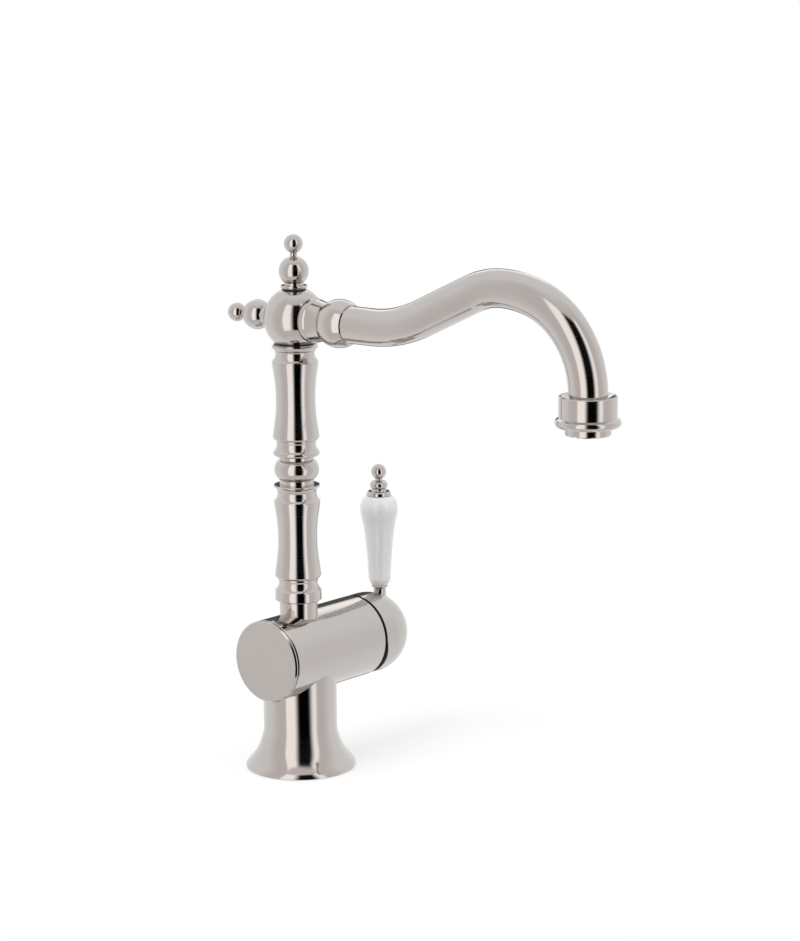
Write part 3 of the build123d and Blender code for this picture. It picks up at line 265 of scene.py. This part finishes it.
grainStrength = 0.3
driftRatio = 12


def softSolid(look):
    m, tree, out = newMaterial(look["name"])
    shader = addNode(tree, "ShaderNodeBsdfPrincipled")
    shader.inputs["Sheen Weight"].default_value = look["sheen"]
    fine = objectNoise(tree, look["grain"])
    wide = objectNoise(tree, look["grain"] / driftRatio, detail=2.0)
    link(
        tree,
        (spread(tree, fine, *look["roughness"]), shader.inputs["Roughness"]),
        (tint(tree, wide, look["dark"], look["light"]), shader.inputs["Base Color"]),
        (bump(tree, fine, grainStrength, look["depth"]), shader.inputs["Normal"]),
        (shader.outputs["BSDF"], out.inputs["Surface"]),
    )
    return m


# the back of the lever's dome, which only shows in the gap before the barrel: painted shade inside its rim, a
# near-black matt colour that stands in for the shadow in the gap
domeGapShade = {
    # the colour of the painted shade in the gap
    "colour": (0.030, 0.028, 0.026),
    "roughness": 0.6,
    "rim": 0.0004,      # metres of plate left at the edge
    "depth": 0.0088,    # metres from the dome's edge for which its outside is a plain cylinder
}


def paintGapShade(m, look):
    # painted shade where a point is nearer the barrel's axis than the dome's outside and within depth of its
    # edge
    tree = m.node_tree
    low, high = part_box("end_cap")
    radius = (high[2] - low[2]) / 2
    axisHeight = (high[2] + low[2]) / 2
    out = next(n for n in tree.nodes if n.type == "OUTPUT_MATERIAL")
    plated = out.inputs["Surface"].links[0].from_socket
    # a near-black matt surface: painted shade for the gap between dome and barrel
    paintedShade = addNode(tree, "ShaderNodeBsdfPrincipled", Roughness=look["roughness"])
    paintedShade.inputs["Base Color"].default_value = (*look["colour"], 1)
    coord = addNode(tree, "ShaderNodeTexCoord")
    across = addNode(tree, "ShaderNodeMapping", Location=(0, 0, -axisHeight), Scale=(0, 1, 1))
    away = addNode(tree, "ShaderNodeVectorMath", operation="LENGTH")
    split = addNode(tree, "ShaderNodeSeparateXYZ")
    withinRim = addNode(tree, "ShaderNodeMath", operation="LESS_THAN")
    withinRim.inputs[1].default_value = radius - look["rim"]
    nearBarrel = addNode(tree, "ShaderNodeMath", operation="LESS_THAN")
    nearBarrel.inputs[1].default_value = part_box("lever_dome")[0][0] + look["depth"]
    inside = addNode(tree, "ShaderNodeMath", operation="MULTIPLY")
    mix = addNode(tree, "ShaderNodeMixShader")
    link(
        tree,
        (coord.outputs["Object"], across.inputs["Vector"]),
        (across.outputs["Vector"], away.inputs[0]),
        (away.outputs["Value"], withinRim.inputs[0]),
        (coord.outputs["Object"], split.inputs[0]),
        (split.outputs["X"], nearBarrel.inputs[0]),
        (withinRim.outputs[0], inside.inputs[0]),
        (nearBarrel.outputs[0], inside.inputs[1]),
        (inside.outputs[0], mix.inputs[0]),
        (plated, mix.inputs[1]),
        (paintedShade.outputs["BSDF"], mix.inputs[2]),
        (mix.outputs[0], out.inputs["Surface"]),
    )
    return m


finishes = {
    "polished_nickel": nickel("nickelTurnedUpright", "z"),
    "porcelain": porcelain("glazedPorcelain"),
}
for name, look in metalLooks.items():
    finishes[name] = turnedMetal(look)
for name, look in solidLooks.items():
    finishes[name] = softSolid(look)

# the nickel pieces that were turned along the barrel or along the spout
nickelBarrel = nickel("nickelTurnedBarrel", "x")
nickelSpout = nickel("nickelTurnedSpout", "y")
lyingPieces = {
    "barrel_body": nickelBarrel,
    "end_cap": nickelBarrel,
    # the dome's back gets painted shade inside its rim, standing in for the shadow in the gap
    "lever_dome": paintGapShade(nickel("nickelTurnedDome", "x"), domeGapShade),
    "spout_tube": nickelSpout,
    "spout_root_nut": nickelSpout,
    "spout_neck_ring": nickelSpout,
    "finial_rear": nickelSpout,
    "finial_seat_rear": nickelSpout,
}

for name, piece in nodes.items():
    for slot in piece.material_slots:
        slot.material = lyingPieces.get(name) or finishes[slot.material.name]
print("finishes given to", len(nodes), "nodes")


# the camera, from the photograph's ellipses and upright edges
cameraPlace = {
    "yaw": -49.86,
    "pitch": 11.12,
    "roll": -0.45,
    "spot": (-1.17556, -1.06943, 0.48843),
    "lens": 107.12,
    "sensor": 36,
    "clip": (0.05, 100),
}


def makeCamera():
    yaw, pitch, roll = (math.radians(cameraPlace[k]) for k in ("yaw", "pitch", "roll"))
    ahead = Vector((-math.sin(yaw) * math.cos(pitch), math.cos(yaw) * math.cos(pitch), -math.sin(pitch)))
    level = Vector((math.cos(yaw), math.sin(yaw), 0))
    upright = level.cross(ahead)
    right = math.cos(roll) * level + math.sin(roll) * upright
    up = -math.sin(roll) * level + math.cos(roll) * upright
    data = bpy.data.cameras.new("camera")
    data.sensor_width = cameraPlace["sensor"]
    data.lens = cameraPlace["lens"]
    data.clip_start, data.clip_end = cameraPlace["clip"]
    cam = bpy.data.objects.new("camera", data)
    turn = Matrix((right, up, -ahead)).transposed().to_4x4()
    cam.matrix_world = Matrix.Translation(cameraPlace["spot"]) @ turn
    bpy.context.scene.collection.objects.link(cam)
    bpy.context.scene.camera = cam


makeCamera()
print("camera placed")


# the studio: a white surround, two softboxes for matt surfaces and panels for the metal to reflect

studio = {
    "surround": 1.0,        # what the camera and the reflections see
    "surroundMatt": 0.74,   # what lights matt surfaces
    "panelMiddle": 0.15,    # metres above the deck of the point that the panels stand round
    "panelColumns": 121,
    "panelRows": 61,
    "lampAim": 0.12,        # metres above the deck of the point that the softboxes face
}
# each panel: degrees to the right of the camera as seen from the object, degrees above the horizon,
# colour, strength, how wide its soft edges are in degrees, at the sides and at the top and bottom,
# and its distance in metres; a nearer panel hides a farther one
panels = {
    "roomFront": {
        "side": (-84, 92),
        "rise": (-69, 72),
        "colour": (1.0, 0.952, 0.942),
        "level": 0.815,
        "soft": (44, 38),
        "radius": 3.6,
    },
    "stripLeft": {
        "side": (-42.7, 0),
        "rise": (-34, 56),
        "colour": (1.0, 0.965, 0.945),
        "level": 1.52,
        "soft": (5, 5),
        "radius": 3.2,
    },
    "stripRight": {
        "side": (24, 55),
        "rise": (-34, 56),
        "colour": (1.0, 0.968, 0.950),
        "level": 1.46,
        "soft": (12, 6),
        "radius": 3.2,
    },
    "flagFront": {
        "side": (-9, 37),
        "rise": (-34, 56),
        "colour": (0.0, 0.0, 0.0),
        "level": 0.0,
        "soft": (18, 6),
        "radius": 3.0,
    },
    "stripBack": {
        "side": (160, 200),
        "rise": (23, 37),
        "colour": (1.0, 0.98, 0.96),
        "level": 1.5,
        "soft": (9, 9),
        "radius": 3.2,
    },
    "flagBack": {
        "side": (172.5, 187.5),
        "rise": (-30, 20.5),
        "colour": (0.10, 0.095, 0.09),
        "level": 1.0,
        "soft": (5, 5),
        "radius": 3.0,
    },
    "flagBelow": {
        "side": (-180, 180),
        "rise": (-84, -78),
        "colour": (0.05, 0.05, 0.05),
        "level": 1.0,
        "soft": (8, 8),
        "radius": 3.0,
    },
}
towardCamera = -90 + cameraPlace["yaw"]


def makeWorld():
    # camera, glossy and transmitted rays see the full surround, the rest is lit by a dimmer one
    world = bpy.data.worlds.new("studioWorld")
    bpy.context.scene.world = world
    world.use_nodes = True
    tree = world.node_tree
    tree.nodes.clear()
    out = tree.nodes.new("ShaderNodeOutputWorld")
    seen = addNode(tree, "ShaderNodeBackground", Color=(1, 1, 1, 1), Strength=studio["surround"])
    lit = addNode(tree, "ShaderNodeBackground", Color=(1, 1, 1, 1), Strength=studio["surroundMatt"])
    path = addNode(tree, "ShaderNodeLightPath")
    cameraOrGlossy = addNode(tree, "ShaderNodeMath", operation="MAXIMUM")
    anySeen = addNode(tree, "ShaderNodeMath", operation="MAXIMUM")
    mix = addNode(tree, "ShaderNodeMixShader")
    link(
        tree,
        (path.outputs["Is Camera Ray"], cameraOrGlossy.inputs[0]),
        (path.outputs["Is Glossy Ray"], cameraOrGlossy.inputs[1]),
        (cameraOrGlossy.outputs[0], anySeen.inputs[0]),
        (path.outputs["Is Transmission Ray"], anySeen.inputs[1]),
        (anySeen.outputs[0], mix.inputs[0]),
        (lit.outputs[0], mix.inputs[1]),
        (seen.outputs[0], mix.inputs[2]),
        (mix.outputs[0], out.inputs["Surface"]),
    )


def gridMesh(name, points, uv=None):
    # points is a rows x columns x 3 array; neighbours are joined into quads
    rows, columns = points.shape[:2]
    index = np.arange(rows * columns).reshape(rows, columns)
    corners = [index[:-1, :-1], index[:-1, 1:], index[1:, 1:], index[1:, :-1]]
    quads = np.stack(corners, axis=-1).reshape(-1, 4)
    mesh = bpy.data.meshes.new(name)
    mesh.from_pydata(points.reshape(-1, 3).tolist(), [], quads.tolist())
    if uv is not None:
        layer = mesh.uv_layers.new(name="place")
        perCorner = uv.reshape(-1, 2)[quads.reshape(-1)]
        layer.data.foreach_set("uv", perCorner.astype(np.float32).reshape(-1))
    mesh.update()
    thing = bpy.data.objects.new(name, mesh)
    bpy.context.scene.collection.objects.link(thing)
    return thing


def outward(side, rise):
    # the unit vector at an angle to the right of the camera and an angle above the horizon, in degrees:
    # (cos rise cos around, cos rise sin around, sin rise)
    around = np.radians(towardCamera + side)
    up = np.radians(rise)
    return np.stack([np.cos(up) * np.cos(around), np.cos(up) * np.sin(around), np.sin(up)], axis=-1)


def panelMaterial(name, panel):
    m, tree, out = newMaterial(name)
    glow = addNode(tree, "ShaderNodeEmission", Color=(*panel["colour"], 1), Strength=panel["level"])
    clear = addNode(tree, "ShaderNodeBsdfTransparent")
    mix = addNode(tree, "ShaderNodeMixShader")
    edge = addNode(tree, "ShaderNodeUVMap", uv_map="place")
    split = addNode(tree, "ShaderNodeSeparateXYZ")
    both = addNode(tree, "ShaderNodeMath", operation="MULTIPLY")
    link(tree, (edge.outputs["UV"], split.inputs[0]))
    for i, axis in enumerate("XY"):
        ramp = addNode(tree, "ShaderNodeMapRange", interpolation_type="SMOOTHSTEP")
        link(tree, (split.outputs[axis], ramp.inputs["Value"]), (ramp.outputs["Result"], both.inputs[i]))
    link(
        tree,
        (both.outputs[0], mix.inputs[0]),
        (clear.outputs[0], mix.inputs[1]),
        (glow.outputs[0], mix.inputs[2]),
        (mix.outputs[0], out.inputs["Surface"]),
    )
    return m


def makePanel(name, panel):
    # a patch of a sphere round the object: u is the angle to the side, v the angle of rise;
    # the uv map says how far inside the soft edge a point is, 0 outside to 1 inside
    softSide, softRise = panel["soft"]
    side = np.linspace(panel["side"][0] - softSide / 2, panel["side"][1] + softSide / 2, studio["panelColumns"])
    rise = np.linspace(panel["rise"][0] - softRise / 2, panel["rise"][1] + softRise / 2, studio["panelRows"])
    u, v = np.meshgrid(side, rise)
    points = panel["radius"] * outward(u, v)
    points[..., 2] += studio["panelMiddle"]
    inU = np.clip(np.minimum(u - side[0], side[-1] - u) / softSide, 0, 1)
    inV = np.clip(np.minimum(v - rise[0], rise[-1] - v) / softRise, 0, 1)
    thing = gridMesh(name, points, uv=np.stack([inU, inV], axis=-1))
    thing.data.materials.append(panelMaterial(name, panel))
    thing.visible_camera = False
    thing.visible_diffuse = False
    thing.visible_shadow = False
    thing.visible_volume_scatter = False


# each softbox: where it stands, as for a panel, its side in metres and its power
lamps = {
    "keyBox": {"side": -48, "rise": 50, "distance": 3.0, "size": 1.8, "watts": 40},
    "fillBox": {"side": 75, "rise": 35, "distance": 3.0, "size": 2.2, "watts": 12},
}


def makeLamp(name, lamp):
    data = bpy.data.lights.new(name, "AREA")
    data.size = lamp["size"]
    data.energy = lamp["watts"]
    thing = bpy.data.objects.new(name, data)
    way = Vector(outward(lamp["side"], lamp["rise"]))
    thing.location = way * lamp["distance"] + Vector((0, 0, studio["lampAim"]))
    thing.rotation_mode = "QUATERNION"
    thing.rotation_quaternion = way.to_track_quat("Z", "Y")
    thing.visible_glossy = False
    thing.visible_camera = False
    bpy.context.scene.collection.objects.link(thing)


floorLook = {
    "colour": 0.42,
    "glowToCamera": 0.588,
    "shadedReach": 0.10,    # metres from the pedestal to where the floor starts to turn plain white
    "whiteReach": 0.34,     # metres to where it is as white as the surround
    "reach": 6.0,
    "drop": 0.0002,         # metres below the underside of the pedestal
}


def makeFloor():
    # a matt floor that keeps the object's shadow near it and, to the camera, fades into the white surround
    reach = floorLook["reach"]
    x, y = np.meshgrid(np.linspace(-reach, reach, 3), np.linspace(-reach, reach, 3))
    thing = gridMesh("studioFloor", np.stack([x, y, np.full_like(x, -floorLook["drop"])], axis=-1))
    m, tree, out = newMaterial("studioFloor")
    matt = addNode(tree, "ShaderNodeBsdfDiffuse", Color=(*[floorLook["colour"]] * 3, 1))
    glow = addNode(tree, "ShaderNodeEmission", Color=(1, 1, 1, 1))
    shaded = addNode(tree, "ShaderNodeAddShader")
    white = addNode(tree, "ShaderNodeEmission", Color=(1, 1, 1, 1), Strength=studio["surround"])
    pick = addNode(tree, "ShaderNodeMixShader")
    path = addNode(tree, "ShaderNodeLightPath")
    level = addNode(tree, "ShaderNodeMath", operation="MULTIPLY")
    level.inputs[1].default_value = floorLook["glowToCamera"]
    coord = addNode(tree, "ShaderNodeTexCoord")
    away = addNode(tree, "ShaderNodeVectorMath", operation="LENGTH")
    span = {"From Min": floorLook["shadedReach"], "From Max": floorLook["whiteReach"]}
    fade = addNode(tree, "ShaderNodeMapRange", interpolation_type="SMOOTHSTEP", **span)
    onlyCamera = addNode(tree, "ShaderNodeMath", operation="MULTIPLY")
    link(
        tree,
        (path.outputs["Is Camera Ray"], level.inputs[0]),
        (level.outputs[0], glow.inputs["Strength"]),
        (matt.outputs[0], shaded.inputs[0]),
        (glow.outputs[0], shaded.inputs[1]),
        (coord.outputs["Object"], away.inputs[0]),
        (away.outputs["Value"], fade.inputs["Value"]),
        (fade.outputs["Result"], onlyCamera.inputs[0]),
        (path.outputs["Is Camera Ray"], onlyCamera.inputs[1]),
        (onlyCamera.outputs[0], pick.inputs[0]),
        (shaded.outputs[0], pick.inputs[1]),
        (white.outputs[0], pick.inputs[2]),
        (pick.outputs[0], out.inputs["Surface"]),
    )
    thing.data.materials.append(m)
    thing.visible_glossy = False


makeWorld()
for name, panel in panels.items():
    makePanel(name, panel)
for name, lamp in lamps.items():
    makeLamp(name, lamp)
makeFloor()
bpy.context.scene.view_settings.view_transform = "Standard"
print("studio built")
